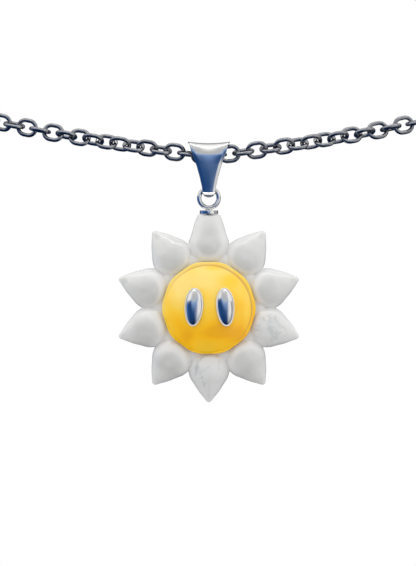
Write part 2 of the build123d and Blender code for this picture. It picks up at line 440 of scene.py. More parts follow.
def chain_links(wire, link_width, pitch_wanted, gap):
    """The links, a quarter turn on from one to the next, in a loop that ends at the clasp's eyes."""
    turns = [math.pi * step / ROUTE_STEPS for step in range(ROUTE_STEPS + 1)]
    lengths = [0.0]
    for before, after in zip(turns, turns[1:]):
        lengths.append(lengths[-1] + (route_point(after) - route_point(before)).length)
    eye_radius = (CLASP_EYE_WIDTH - wire) / 2
    clasp_end = CLASP_BARREL_LENGTH / 2 + 2 * eye_radius
    end_distance = lengths[-1] - (clasp_end - wire - gap) - (pitch_wanted + gap + wire) / 2
    count = 4 * round(end_distance / (2 * pitch_wanted))
    pitch = 2 * end_distance / (count - 1)
    link_length = pitch + gap + 2 * wire

    # One link, as rings of points round the wire
    bend = (link_width - wire) / 2
    straight = (link_length - link_width) / 2
    line = []
    for side in (1, -1):
        for step in range(LINK_BEND_STEPS + 1):
            angle = math.pi / 2 - math.pi * step / LINK_BEND_STEPS
            out = np.array((math.cos(angle) * side, math.sin(angle) * side, 0.0))
            line.append((np.array((straight * side, 0.0, 0.0)) + bend * out, out))
    link = wire_points(line, wire, (0.0, 0.0, 1.0), LINK_WIRE_STEPS)
    link_faces = grid_faces(len(line), LINK_WIRE_STEPS, close_rows=True)

    points = []
    faces = []
    for index in range(count):
        distance = (index + 0.5 - count / 2) * pitch
        turn = math.copysign(np.interp(abs(distance), lengths, turns), distance)
        ahead = (route_point(turn + LOOK_AHEAD) - route_point(turn - LOOK_AHEAD)).normalized()
        sideways = ahead.cross(Vector((0, 0, 1))).normalized()
        # Each link is a quarter turn on from the last, and the whole chain twists slowly
        quarters = TWIST_QUARTERS_RIGHT if distance > 0 else TWIST_QUARTERS_LEFT
        roll = 90 * (index + 1) + 90 * quarters * abs(distance) / end_distance
        face = Matrix.Rotation(math.radians(roll), 3, ahead) @ sideways
        axes = np.array((ahead, face.cross(ahead), face))
        faces.append(link_faces + index * len(link))
        points.append(link @ axes + np.array(route_point(turn)))
    return np.concatenate(points), np.concatenate(faces), {}


class PENDANT_OT_chain(bpy.types.Operator):
    """Adds the cable chain: round-wire links, each turned a quarter from the last"""

    bl_idname = "pendant.chain"
    bl_label = "Chain"

    def execute(self, context):
        sizes, colours = sizes_and_colours(context.scene.pendant_chain)
        steel = make_material(polished_steel_wire, *colours)
        add_piece("chain_links", chain_links(*sizes), steel, "chain", "chain")
        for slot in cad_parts["clasp"].material_slots:
            slot.material = steel
        return {"FINISHED"}


# The strip's half width at heights from the chain's middle. At the last, the top, it is a setting
STRIP_HEIGHTS = (-7.58, -7.5, -7.4, -7.2, -6.9, -6.4, -5.7, -3.75, -1.68, 0.0, 1.05, 1.6, 2.1, 2.6)
STRIP_HALVES = (0.6, 0.74, 0.87, 1.0, 1.1, 1.18, 1.26, 1.7, 2.27, 2.89, 3.3, 3.5, 3.78)
# Outer line of the bend, with a straight end, a toe and the bottom: share of the way, forward and up
BEND_LINE = (
    (0.0, 1.63, -6.12),
    (0.2, 1.56, -6.79),
    (0.26, 1.66, -6.88),
    (0.36, 1.8, -7.06),
    (0.46, 1.87, -7.22),
    (0.56, 1.8, -7.36),
    (0.68, 1.55, -7.48),
    (0.84, 0.9, -7.56),
    (1.0, 0.0, -7.58),
)
# Steps along the fold, one side and half the bend, across the face, and round an edge
TOP_STEPS = 44
SIDE_STEPS = 26
BEND_STEPS = 50
FACE_POINTS = 17
EDGE_STEPS = 5
# Room between the links and the fold, and how far outside the edges the flare would be full
FOLD_ROOM = 0.16
FLARE_BEYOND = 0.45
# How far the sides bulge just under the fold
SIDE_BULGE = math.radians(4.0)
# The fold's section is round with a power of 2, and squarer with more: how the power grows with
# the place across the strip, and the most that it may be
SQUARE_GROWTH = 0.18
SQUARE_EDGE_GROWTH = 0.001
SQUARE_MOST = 5.7
# The saddle that makes room for the ring: half its width, and where it starts on the sides
SADDLE_HALF_WIDTH = 1.1
SADDLE_START = 0.75
# The crowned face's slope, and the bevels: width, how it grows with the strip, its largest share of
# the strip's half, slope, slope on the fold up to near its end, places of points, and softening
CROWN_SLOPE = 0.05
BEVEL_WIDTH = 0.16
BEVEL_GROWTH = 0.11
BEVEL_MOST = 0.35
BEVEL_SLOPE = 0.42
FOLD_BEVEL_SLOPE = 0.18
FOLD_BEVEL_END = 0.8
BEVEL_PLACES = (0.08, 0.35, 0.65, 0.95)
BEVEL_SOFTENING = 0.03
# Rounding of the outer edge, share of the thickness that is rounded inside, and the share that
# crown, bevel and rounding may take together
EDGE_ROUNDING = 0.1
INNER_EDGE_SHARE = 0.2
OUTER_SHARE_MOST = 0.7


def folded_strip(half_width, wall, bend_wall, flare):
    """The bail's strip: a closed band with a flared top, and a bend that holds the ring."""
    passage = LINK_WIDTH / 2 + FOLD_ROOM
    slot = RING_WIRE / 2 + RING_CLEARANCE
    reach = half_width + FLARE_BEYOND
    hole_room = RING_WIDTH / 2 - RING_WIRE - RING_CLEARANCE
    halves = (*STRIP_HALVES, half_width)
    bend_shares, bend_forward, bend_up = zip(*BEND_LINE)

    # Stations along one side: over the top, down the strip, and round the bend
    stations = [("top", step / TOP_STEPS) for step in range(TOP_STEPS + 1)]
    for part, steps in (("side", SIDE_STEPS), ("bend", BEND_STEPS)):
        stations += [(part, step / steps) for step in range(1, steps + 1)]

    def place(part, share, x, depth):
        """A point of the strip, and its height, at a depth below the outer face."""
        top = passage + flare * (x / reach) ** 2 + wall
        bottom = slot + bend_wall
        lean = math.asin((top - bottom) / BAIL_DROP)
        fold_end = lean - SIDE_BULGE
        side = np.array((math.cos(lean), -math.sin(lean)))
        low = np.array((0.0, -BAIL_DROP))
        if part == "top":
            angle = math.pi / 2 - (math.pi / 2 + fold_end) * share
            out = np.array((math.cos(angle), math.sin(angle)))
            # The fold is round in the middle and squarer towards the strip's edges
            square = min(SQUARE_MOST, 2 + SQUARE_GROWTH * x**2 + SQUARE_EDGE_GROWTH * x**6)
            rise = math.pi / 2 * (1 - share)
            swell = (abs(math.cos(rise)) ** square + abs(math.sin(rise)) ** square) ** (-1 / square)
            return out * (top * swell - depth)
        if part == "side":
            out = np.array((math.cos(fold_end), -math.sin(fold_end)))
            start = out * (top - depth)
            end = low + side * (bottom - depth)
            along = end - start
            across = np.array((-along[1], along[0]))
            # The side leaves the fold without a crease, and bends most just under it
            swell = np.dot(along, out) / np.dot(across, out) * (share - share**1.5)
            return start + along * share - across * swell
        outer = np.array(
            (np.interp(share, bend_shares, bend_forward), np.interp(share, bend_shares, bend_up))
        )
        angle = -lean - (math.pi / 2 - lean) * share
        inner = low + np.array((math.cos(angle), math.sin(angle))) * slot
        return outer + (inner - outer) * depth / bend_wall

    def thickness(part, share, x):
        """The strip's thickness: it grows to the bend, and makes room for the ring there."""
        inside = min(abs(x), SADDLE_HALF_WIDTH)
        saddle = RING_RADIUS - math.sqrt(hole_room**2 - inside**2) - slot
        if part == "top":
            return wall
        if part == "side":
            begun = float(ease(SADDLE_START, 1.0, share))
            return wall + (bend_wall - wall) * share - saddle * begun
        return bend_wall - saddle

    face_shares = np.linspace(-1, 1, FACE_POINTS)
    quarter = quarter_turn(EDGE_STEPS)

    def section(part, share):
        """Points round the strip's section, as x and depth."""
        half = float(np.interp(place(part, share, 0.0, 0.0)[1], STRIP_HEIGHTS, halves))
        thick = thickness(part, share, half)
        bevel = min(BEVEL_WIDTH + BEVEL_GROWTH * half, BEVEL_MOST * half)
        face_half = half - bevel - EDGE_ROUNDING
        crown = CROWN_SLOPE * face_half
        slope = BEVEL_SLOPE
        if part == "top":
            grown = float(ease(FOLD_BEVEL_END, 1.0, share))
            slope = FOLD_BEVEL_SLOPE + (slope - FOLD_BEVEL_SLOPE) * grown
        low = crown + slope * bevel
        squash = min(1.0, OUTER_SHARE_MOST * thick / (low + EDGE_ROUNDING))
        inner_edge = INNER_EDGE_SHARE * thick
        outline = [(value * face_half, squash * crown * value**2) for value in face_shares]
        for step in BEVEL_PLACES:
            depth = crown + slope * bevel * (step - BEVEL_SOFTENING)
            outline.append((face_half + bevel * step, squash * depth))
        for angle in quarter[1:]:
            x = half - EDGE_ROUNDING + EDGE_ROUNDING * math.sin(angle)
            outline.append((x, squash * (low + EDGE_ROUNDING * (1 - math.cos(angle)))))
        for angle in quarter:
            x = half - inner_edge * (1 - math.cos(angle))
            outline.append((x, thick - inner_edge * (1 - math.sin(angle))))
        turned = len(outline)
        for value in face_shares[::-1][1:-1]:
            x = value * (half - inner_edge)
            outline.append((x, thickness(part, share, x)))
        mirrored = [(-x, depth) for x, depth in outline[FACE_POINTS:turned]]
        return outline + mirrored[::-1]

    points = []
    for side, line in ((-1, stations), (1, stations[::-1][1:-1])):
        for part, share in line:
            for x, depth in section(part, share):
                y, z = place(part, share, x, depth)
                points.append((x, FRONT_Y + side * y, FRONT_Z + z))
    rows = 2 * len(stations) - 2
    faces = grid_faces(rows, len(points) // rows, close_rows=True)
    return points, faces, {}


class PENDANT_OT_bail(bpy.types.Operator):
    """Adds the bail: a silver strip folded over the chain, with a flared top"""

    bl_idname = "pendant.bail"
    bl_label = "Bail"

    def execute(self, context):
        sizes, colours = sizes_and_colours(context.scene.pendant_bail)
        silver = make_material(buffed_silver, *colours)
        add_piece("bail_strip", folded_strip(*sizes), silver, "bail", "bail")
        return {"FINISHED"}


RING_STEPS = 96
RING_WIRE_STEPS = 32
CAP_STEPS = 64
CAP_EDGE_STEPS = 6
# The solder on the cap and the cap's flat top: radius, and height over the cap's top
SOLDER = ((0.0, 0.5), (0.36, 0.46), (0.47, 0.24), (0.6, 0.1), (0.74, 0.03), (0.86, 0.0), (1.2, 0.0))
# The peg: radius, and depth under the cap
PEG = ((0.47, 0.0), (0.45, 0.03), (0.45, 3.15), (0.4, 3.2), (0.0, 3.2))


def ring_on_cap(wire, cap_width, edge):
    """The ring of round wire, and under it the solder, cap and peg, turned round one axis."""
    line = []
    for turn in full_turn(RING_STEPS):
        out = np.array((math.sin(turn), 0.0, math.cos(turn)))
        line.append((np.array((0.0, FRONT_Y, RING_Z)) + out * RING_RADIUS, out))
    ring = wire_points(line, wire, (0.0, 1.0, 0.0), RING_WIRE_STEPS)
    ring_faces = grid_faces(RING_STEPS, RING_WIRE_STEPS, close_rows=True)

    # Turned profile, from the solder's top down to the peg's end: radius and height
    corner = quarter_turn(CAP_EDGE_STEPS)
    flat = cap_width / 2 - edge
    profile = [(r, CAP_TOP + up) for r, up in SOLDER]
    profile += [(flat + edge * math.sin(a), CAP_TOP - edge + edge * math.cos(a)) for a in corner]
    profile += [(flat + edge * math.cos(a), CAP_BOTTOM + edge - edge * math.sin(a)) for a in corner]
    profile += [(r, CAP_BOTTOM - down) for r, down in PEG]
    turned = []
    for r, z in profile:
        for turn in full_turn(CAP_STEPS):
            turned.append((r * math.cos(turn), FRONT_Y + r * math.sin(turn), z))
    points = np.concatenate((ring, turned))
    faces = np.concatenate((ring_faces, grid_faces(len(profile), CAP_STEPS) + len(ring)))
    return points, faces, {}


class PENDANT_OT_ring(bpy.types.Operator):
    """Adds the ring, soldered on its round cap, with the peg that holds the flower"""

    bl_idname = "pendant.ring"
    bl_label = "Ring and cap"

    def execute(self, context):
        sizes, _ = sizes_and_colours(context.scene.pendant_ring)
        silver = bpy.data.materials["buffed_silver"]
        add_piece("ring_and_cap", ring_on_cap(*sizes), silver, "flower", "cap_and_ring")
        return {"FINISHED"}


def smooth_most(values, blend):
    """The largest of several fields, with their meetings rounded over that much."""
    total = values[0]
    for value in values[1:]:
        share = np.clip(blend - np.abs(total - value), 0, None) / blend
        total = np.maximum(total, value) + share * share * blend / 4
    return total


# The carving's depth is this share of its width
FLATNESS = 0.72
# The hub behind the centre: half its depth, how far out it keeps it, and over how much it thins
HUB_HALF_DEPTH = 1.5
HUB_REACH = 8.6
HUB_THINNING = 1.9
# How far the petals' sides swell between their widest places and their tips
SIDE_SWELL = 0.12
TOP_SWELL = 0.3
# How far the meetings of the petals are rounded over, and the corners of the top petal's square end
PETAL_BLEND = 1.1
CUT_BLEND = 0.8
CUT_STEEPNESS = 20
# Each veiled petal and how strong its veils are, then the veils' width, point and soft border
VEILED_PETALS = ((3, 0.65), (5, 1.0))
VEIL_HALF_WIDTH = 2.9
VEIL_POINT_INSIDE = 1.0
VEIL_FADE = 3.0
# Each petal's core of painted shade, from the top petal on, clockwise: how grey, how far out, how far down,
# which puts more of the painted shade on the lower side, and how grey the painted shade is just behind its
# tip
CORE_SHADES = (
    (0.95, 0.45, 0.0, 0.0),
    (0.85, 0.5, 0.2, 0.6),
    (0.8, 0.9, 0.4, 0.5),
    (0.15, 0.5, 0.0, 0.2),
    (0.9, 1.0, 0.3, 0.5),
    (0.15, 0.5, 0.0, 0.1),
    (1.05, 1.2, 0.5, 0.6),
    (0.95, 1.2, 0.6, 0.5),
    (0.95, 1.0, 0.7, 0.95),
    (0.9, 0.5, 0.2, 0.95),
)
# The cores' widths, how far their points stay inside the petals' points, and those points' rounding
CORE_HALF_WIDTH = 2.7
TOP_CORE_HALF_WIDTH = 2.3
CORE_POINT_INSIDE = 0.8
TOP_CORE_POINT_INSIDE = 2.0
INNER_TIP = 0.4
# A core pales by this much between two places on the way out
CORE_PALING = 0.5
CORE_PALING_FROM = 11.0
CORE_PALING_TO = 17.0
# A core's edge is crisp out to the first place and soft from the second, but on the top petal it
# softens less. The edge begins and ends at these values of its field
CRISP_TO = 9.0
SOFT_FROM = 13.0
TOP_SOFTENING = 0.35
SOFT_EDGE = (-5.0, 7.0)
CRISP_EDGE = (-0.8, 2.4)
# The spots of painted shade behind the tips: their place, where they start to fade, their reach, and how
# much narrower than long they are
TIP_SPOT_REACH = 15.9
TIP_SPOT_FULL = 0.1
TIP_SPOT_RADIUS = 1.3
TIP_SPOT_NARROWING = 1.3
# Rays in each petal, and how evenly they are spread, since they lie closer together at the tips
PETAL_RAYS = 96
RAY_EVENNESS = 0.42
# The rim lies between these two, and is found by halving that this often
RIM_BETWEEN = (9.5, 18.5)
RIM_HALVINGS = 40
# Rows from the rim to the seat, and how far outside it one more row lies
PETAL_ROWS = 36
SEAT_EDGE_ROW = 0.03
# The seat: depth of its floor, the floor's rows, and how closely its wall touches the plate
SEAT_DEPTH = 1.02
SEAT_ROWS = (0.0, 4.0, 7.0)
SEAT_TOUCH = 0.02
# Rows on the hub's back, as shares of the seat's width
BACK_ROWS = (0.97, 0.93, 0.88, 0.8, 0.65, 0.45, 0.2, 0.0)


def drop_field(x, z, angle, half_width, ball_reach, point, tip, swell=SIDE_SWELL):
    """Above zero inside a drop that points out at that angle from the top: half depth squared."""
    along = x * math.sin(angle) + z * math.cos(angle)
    aside = x * math.cos(angle) - z * math.sin(angle)
    lean = math.asin(half_width / (point - ball_reach))
    tip_middle = point - tip / math.sin(lean)
    ball_end = ball_reach + half_width * math.sin(lean)
    cone_end = tip_middle + tip * math.sin(lean)
    ball = half_width**2 - (along - ball_reach) ** 2
    # The sides swell a little between the ball and the tip
    run = np.clip((along - ball_end) / (cone_end - ball_end), 0, 1)
    cone = ((point - along) * math.tan(lean) + swell * np.sin(math.pi * run) ** 2) ** 2
    end = tip**2 - (along - tip_middle) ** 2
    spine = np.where(along < ball_end, ball, np.where(along < cone_end, cone, end))
    return spine - aside**2


def centre_outline(angles, apothem, corner):
    """How far the centre's rounded ten-sided edge is from its middle, at those angles."""
    off_flat = (angles + PETAL_STEP / 2) % PETAL_STEP - PETAL_STEP / 2
    # Each corner is an arc between the places where it meets the two flats
    corner_turn = PETAL_STEP / 2
    arc_middle = (apothem - corner) / math.cos(corner_turn)
    aside = corner_turn - np.abs(off_flat)
    flat = apothem / np.cos(off_flat)
    arc = arc_middle * np.cos(aside) + np.sqrt(
        np.clip(corner**2 - (arc_middle * np.sin(aside)) ** 2, 0, None)
    )
    meets = math.atan2((apothem - corner) * math.tan(corner_turn), apothem)
    return np.where(np.abs(off_flat) > meets, arc, flat)


def petal_carving(half_width, ball_reach, point, top_point, tip):
    """The ten petals and the hub in one, with the painted shade of the thick cores and how veiled the stone
    is at each point.
    """
    turns = [n * PETAL_STEP for n in range(PETAL_COUNT)]
    reaches = [top_point] + [point] * (PETAL_COUNT - 1)

    def field(x, z):
        """Half depth squared of the carving, before it is flattened."""
        drops = []
        for n, (turn, reach) in enumerate(zip(turns, reaches)):
            swell = TOP_SWELL if n == 0 else SIDE_SWELL
            drops.append(drop_field(x, z, turn, half_width, ball_reach, reach, tip, swell))
        thinning = np.clip((np.hypot(x, z) - HUB_REACH) / HUB_THINNING, 0, None) ** 3
        hub = (HUB_HALF_DEPTH / FLATNESS) ** 2 * (1 - thinning)
        body = smooth_most([hub, *drops], PETAL_BLEND)
        # The top petal's end is cut square, with its corners just rounded
        cut = (TOP_REACH - z) * CUT_STEEPNESS
        return -smooth_most([-body, -cut], CUT_BLEND)

    def core(x, z):
        """Painted shade: 0 at the petals' rims and 1 in the thick of them, most at their inner ends."""
        level = np.zeros_like(x)
        for n, (turn, reach) in enumerate(zip(turns, reaches)):
            grey, out, down, tip_shade = CORE_SHADES[n]
            wide = TOP_CORE_HALF_WIDTH if n == 0 else CORE_HALF_WIDTH
            inside = TOP_CORE_POINT_INSIDE if n == 0 else CORE_POINT_INSIDE
            # The painted shade is moved down, as light from above leaves the lower side darker
            inner = drop_field(x, z + down, turn, wide, ball_reach + out, reach - inside, INNER_TIP)
            along = x * math.sin(turn) + z * math.cos(turn)
            aside = x * math.cos(turn) - z * math.sin(turn)
            fade = 1 - CORE_PALING * ease(CORE_PALING_FROM + out, CORE_PALING_TO, along)
            crisp = 1 - (TOP_SOFTENING if n == 0 else 1.0) * ease(CRISP_TO, SOFT_FROM, along)
            begins, ends = (a + (b - a) * crisp for a, b in zip(SOFT_EDGE, CRISP_EDGE))
            level = np.maximum(level, ease(begins, ends, inner) * fade * grey)
            # A spot of painted shade just behind the tip
            away = np.hypot(along - TIP_SPOT_REACH, aside * TIP_SPOT_NARROWING)
            level = np.maximum(level, (1 - ease(TIP_SPOT_FULL, TIP_SPOT_RADIUS, away)) * tip_shade)
        return level

    def veil(x, z):
        """Above 0 in the middle of the two petals that have cloudy veils."""
        level = np.zeros_like(x)
        veil_point = point - VEIL_POINT_INSIDE
        for n, strength in VEILED_PETALS:
            inner = drop_field(x, z, turns[n], VEIL_HALF_WIDTH, ball_reach, veil_point, INNER_TIP)
            level = np.maximum(level, ease(0.0, VEIL_FADE, inner) * strength)
        return level

    spread = np.linspace(-1, 1, PETAL_RAYS, endpoint=False)
    swing = PETAL_STEP / 2 * (RAY_EVENNESS * spread + (1 - RAY_EVENNESS) * spread**3)
    angles = np.concatenate([turn + swing for turn in turns])
    sine, cosine = np.sin(angles), np.cos(angles)
    low, high = (np.full_like(angles, r) for r in RIM_BETWEEN)
    for _ in range(RIM_HALVINGS):
        middle = (low + high) / 2
        inside = field(middle * sine, middle * cosine) > 0
        low = np.where(inside, middle, low)
        high = np.where(inside, high, middle)
    rim = (low + high) / 2

    # The seat's wall follows the edge of the centre's plate, and just touches it
    seat = centre_outline(angles, CENTRE_APOTHEM, CENTRE_CORNER) - SEAT_TOUCH
    front_rows = [rim + (seat - rim) * (1 - math.cos(angle)) for angle in quarter_turn(PETAL_ROWS)]
    # A last fine row keeps the seat's edge crisp
    front_rows.insert(PETAL_ROWS, seat + SEAT_EDGE_ROW)
    points = []
    levels = []
    veils = []

    def add_row(r, y):
        x, z = r * sine, r * cosine
        points.append(np.stack((x, np.broadcast_to(y, x.shape), z), axis=-1))
        levels.append(core(x, z))
        veils.append(veil(x, z))

    def depth(r):
        return FLATNESS * np.sqrt(np.clip(field(r * sine, r * cosine), 0, None))

    # From the middle of the seat out to its wall, over the petals, and round to the back
    for r in SEAT_ROWS:
        add_row(np.full_like(angles, r), -SEAT_DEPTH)
    add_row(seat, -SEAT_DEPTH)
    for r in front_rows[::-1]:
        add_row(r, -depth(r))
    points[-1][:, 1] = 0.0
    for r in front_rows[1:]:
        add_row(r, depth(r))
    for share in BACK_ROWS:
        add_row(seat * share, depth(seat * share))
    attributes = {"core": np.concatenate(levels), "veil": np.concatenate(veils)}
    return np.concatenate(points) + FLOWER_MIDDLE, grid_faces(len(points), len(angles)), attributes


class PENDANT_OT_petals(bpy.types.Operator):
    """Adds the ten petals, one stone carving with a seat for the centre"""

    bl_idname = "pendant.petals"
    bl_label = "Petals"

    def execute(self, context):
        sizes, colours = sizes_and_colours(context.scene.pendant_petals)
        quartz = make_material(milky_quartz, *colours)
        add_piece("petal_carving", petal_carving(*sizes), quartz, "flower", "petals")
        return {"FINISHED"}


# Painted highlights and painted shade in soft patches, where light gathers in the centre or leaves it: how
# far right and up, the reach sideways and upwards, and how much deeper the colour is there
GLINTS = (
    (0.75, 7.2, 2.8, 1.0, 0.35),
    (3.9, 4.9, 2.8, 2.0, 0.25),
    (-4.6, 4.0, 2.2, 3.6, -0.25),
    (-0.8, 5.2, 2.8, 2.4, -0.3),
    (-5.4, -2.0, 3.0, 2.6, 0.25),
    (3.4, -3.9, 5.4, 3.0, 0.2),
    (-2.6, -4.4, 4.8, 2.6, 0.12),
    (0.2, -6.9, 7.0, 2.6, -0.34),
    (6.9, -0.7, 1.3, 5.0, -0.4),
)
# Painted light at the upper left turns to painted shade at the lower right: its lean to the right, and down
SHADING_RIGHT = 0.3
SHADING_DOWN = 0.95
# The plate: depth of its back, and its edge's rounding
PLATE_BACK = 1.1
PLATE_EDGE = 0.12
PLATE_EDGE_STEPS = 8
# The dome starts a little over the plate, and sits a little low and left on it
DOME_STEP = 0.1
DOME_RIGHT = -0.15
DOME_UP = -0.2
DOME_ROWS = 44
CENTRE_RAYS = 720
# Rows round the dome's foot: how far outside it, how far over the plate, and how brown the painted shade
# line there is. The painted line fades in from the lower left to the upper right
FOOT_ROWS = ((0.02, 0.06, 0.5), (0.04, 0.01, 0.9))
LINE_RIGHT = 0.6
LINE_UP = 0.8
LINE_FADE = (-0.6, 0.7)


def domed_plate(across_flats, dome_width, rise):
    """The ten-sided plate and its dome, with its painted light and shade and the painted shade line at the
    dome's foot.
    """
    apothem = across_flats / 2
    dome_half = dome_width / 2
    dome_radius = (dome_half**2 + rise**2) / (2 * rise)

    angles = np.linspace(0, math.tau, CENTRE_RAYS, endpoint=False)
    outline = centre_outline(angles, apothem, CENTRE_CORNER)
    sine, cosine = np.sin(angles), np.cos(angles)
    upper_right = ease(*LINE_FADE, LINE_RIGHT * sine + LINE_UP * cosine)
    points = []
    painted_shadings = []
    shade_lines = []

    def add_row(r, y, on_dome=False, line=0.0):
        x = r * sine + DOME_RIGHT * on_dome
        z = r * cosine + DOME_UP * on_dome
        points.append(np.stack((x, np.broadcast_to(y, x.shape), z), axis=-1))
        # Painted shade, deeper towards the lower right, and painted highlights and shade in the patches
        pool = ease(-1.0, 1.0, (SHADING_RIGHT * x - SHADING_DOWN * z) / apothem)
        for right, up, reach_x, reach_z, deeper in GLINTS:
            away = np.hypot((x - right) / reach_x, (z - up) / reach_z)
            pool = pool + deeper * (1 - ease(0.0, 1.0, away))
        painted_shadings.append(pool)
        # The painted shade line, faded in towards the upper right
        shade_lines.append(line * upper_right)

    for angle in quarter_turn(DOME_ROWS):
        r = np.full_like(angles, dome_half * math.sin(angle))
        fall = (dome_radius - np.sqrt(dome_radius**2 - r**2)) * (1 - DOME_STEP / rise)
        add_row(r, -(PLATE_FRONT + rise - fall), True)
    for outside, over, line in FOOT_ROWS:
        add_row(r + outside, -(PLATE_FRONT + over), True, line)
    flat = outline - PLATE_EDGE
    add_row((r + flat) / 2, -PLATE_FRONT)
    for angle in quarter_turn(PLATE_EDGE_STEPS):
        back = PLATE_EDGE * (1 - math.cos(angle))
        add_row(flat + PLATE_EDGE * math.sin(angle), -(PLATE_FRONT - back))
    for share in (1.0, 0.5, 0.0):
        add_row(outline * share, -PLATE_BACK)
    attributes = {"pool": np.concatenate(painted_shadings), "edge": np.concatenate(shade_lines)}
    return np.concatenate(points) + FLOWER_MIDDLE, grid_faces(len(points), len(angles)), attributes


class PENDANT_OT_centre(bpy.types.Operator):
    """Adds the yellow centre: a ten-sided plate with a low dome"""

    bl_idname = "pendant.centre"
    bl_label = "Yellow centre"

    def execute(self, context):
        sizes, colours = sizes_and_colours(context.scene.pendant_centre)
        stone = make_material(yellow_chalcedony, *colours)
        add_piece("yellow_stone", domed_plate(*sizes), stone, "flower", "yellow_centre")
        return {"FINISHED"}


# A stud's upper part is a little shorter than its lower one
UPPER_SHARE = 0.46
# The pair sits a little high and to the right on the dome, and each stud leans outwards
PAIR_UP = 0.16
PAIR_RIGHT = 0.12
STUD_LEAN = math.radians(4.0)
STUD_RAYS = 96
# How much of the dome's slope the studs' crowns make up for, to look to the front
LEVEL_SHARE = 0.9
# The crown ends at this share of the stud's width, and falls by this share of its bulge squared
CROWN_EDGE = 0.88
CROWN_ROWS = 24
CROWN_FALL = 0.88
CROWN_POWER = 2.5
# The fine bead round the crown: its height, and how far its foot lies behind the crown's edge
BEAD_HEIGHT = 0.13
BEAD_BEHIND = 0.02
BEAD_ROWS = 8
# Rows of the back, as shares of the width and of the bulge, and their room over the dome
BACK_RINGS = ((1.0, 0.3), (0.5, 0.8), (0.0, 1.0))
DOME_ROOM = 0.05


def oval_stud(side, width, height, bulge, spacing):
    """One stud, on the left at side -1 and on the right at side 1, with where its bead is."""
    dome_radius = (DOME_HALF_WIDTH**2 + DOME_RISE**2) / (2 * DOME_RISE)
    dome_middle = FLOWER_MIDDLE + np.array((0.0, dome_radius - PLATE_FRONT - DOME_RISE, 0.0))
    upper = UPPER_SHARE * height
    lower = height - upper
    middle_z = PAIR_UP + (lower - upper) / 2
    turn = math.asin(spacing / 2 / dome_radius)
    angles = np.linspace(0, math.tau, STUD_RAYS, endpoint=False)
    ups = np.where(np.sin(angles) > 0, upper, lower)
    rings = []
    for angle in quarter_turn(CROWN_ROWS):
        share = math.sin(angle)
        rings.append((CROWN_EDGE * share, -bulge * (1 - CROWN_FALL * share**CROWN_POWER) ** 0.5))
    bead = 0.5 * (1 - CROWN_EDGE)
    bead_y = rings[-1][1] + BEAD_BEHIND
    for step in range(1, BEAD_ROWS + 1):
        angle = math.pi * step / BEAD_ROWS
        across = CROWN_EDGE + bead - bead * math.cos(angle)
        rings.append((across, bead_y - BEAD_HEIGHT * math.sin(angle)))
    rings += [(share, back * bulge) for share, back in BACK_RINGS]
    # Where the painted white highlight of the bead goes
    beads = [float(index > CROWN_ROWS) for index in range(len(rings))]
    points = []
    swing = Matrix.Rotation(side * turn, 3, "Z")
    tilt = Matrix.Rotation(-side * STUD_LEAN, 3, "Y")
    base = swing @ Vector((0, -dome_radius, middle_z)) + Vector((PAIR_RIGHT, 0, 0))
    for share, y in rings:
        # The bead is as wide at the ends as at the sides
        tall = float(np.interp(share, (0, CROWN_EDGE, 1), (0, (1 + CROWN_EDGE) / 2, 1)))
        for angle, up in zip(angles, ups):
            aside = width / 2 * share * math.cos(angle)
            levelled = y - side * math.tan(turn) * LEVEL_SHARE * aside * (1 - share**2)
            local = Vector((aside, levelled if y < 0 else y, up * tall * math.sin(angle)))
            spot = base + swing @ (tilt @ local)
            # The back is hollowed to the dome that it sits on
            if spot.length < dome_radius + DOME_ROOM:
                spot = spot.normalized() * (dome_radius + DOME_ROOM)
            points.append(np.array(spot) + dome_middle)
    return points, grid_faces(len(rings), len(angles)), {"bead": np.repeat(beads, len(angles))}


class PENDANT_OT_studs(bpy.types.Operator):
    """Adds the two domed oval studs"""

    bl_idname = "pendant.studs"
    bl_label = "Oval studs"

    def execute(self, context):
        sizes, _ = sizes_and_colours(context.scene.pendant_studs)
        silver = bpy.data.materials["buffed_silver"]
        for side, name in ((-1, "left"), (1, "right")):
            stud = oval_stud(side, *sizes)
            add_piece(f"stud_{name}", stud, silver, "flower", f"oval_stud_{name}")
        return {"FINISHED"}


# The stage, in millimetres: half the floor, and the camera's place from the chain's front
FLOOR_HALF = 600.0
CAMERA_RIGHT = -0.16
CAMERA_AHEAD = 382.0
CAMERA_DOWN = 23.0
CAMERA_LENS = 135
CAMERA_SENSOR = 36
CAMERA_NEAREST = 10.0
# One long strip light hangs over the flower, a little before it
LAMP_LENGTH = 600.0
LAMP_WIDTH = 36.0
LAMP_AHEAD = 100.0
LAMP_UP = 395.0
LAMP_WATTS = 0.25
# The walls that the metal mirrors, from behind round by the viewer's left to behind again
WALLS = (
    (0.0, "#E9E9E8"),
    (0.13, "#E6E8EC"),
    (0.2, "#5C86C2"),
    (0.27, "#3B69AC"),
    (0.35, "#1F4881"),
    (0.44, "#1B4178"),
    (0.485, "#294B7E"),
    (0.5, "#48648F"),
    (0.513, "#7484A8"),
    (0.54, "#ABB3CA"),
    (0.56, "#F2F2F5"),
    (0.6, "#DCDDE1"),
    (0.635, "#FBFBFB"),
    (0.67, "#E8E8EA"),
    (0.71, "#8F8F93"),
    (0.84, "#B9B6B2"),
    (1.0, "#E9E9E8"),
)
# How far the walls lean to the right on the way down
WALL_LEAN = 0.09
# The ceiling from its soft lower edge up to the top: height, colour, and how much it covers
CEILING = (
    (0.39, "#7FA0D4", 0.0),
    (0.434, "#7FA0D4", 0.07),
    (0.461, "#7FA0D4", 0.25),
    (0.475, "#7FA0D4", 0.55),
    (0.49, "#7FA0D4", 0.85),
    (0.515, "#9DB2D2", 1.0),
    (0.545, "#B9C1CC", 1.0),
    (0.64, "#BEBEC3", 1.0),
    (0.735, "#C8C8CB", 1.0),
    (0.83, "#DCDCDF", 1.0),
    (0.9, "#FFFFFF", 1.0),
)
# The light on the stone, from below up to the top: height and brightness
SOFT_LIGHT = ((0.0, 0.84), (0.45, 1.06), (0.6, 1.14), (1.0, 1.3))


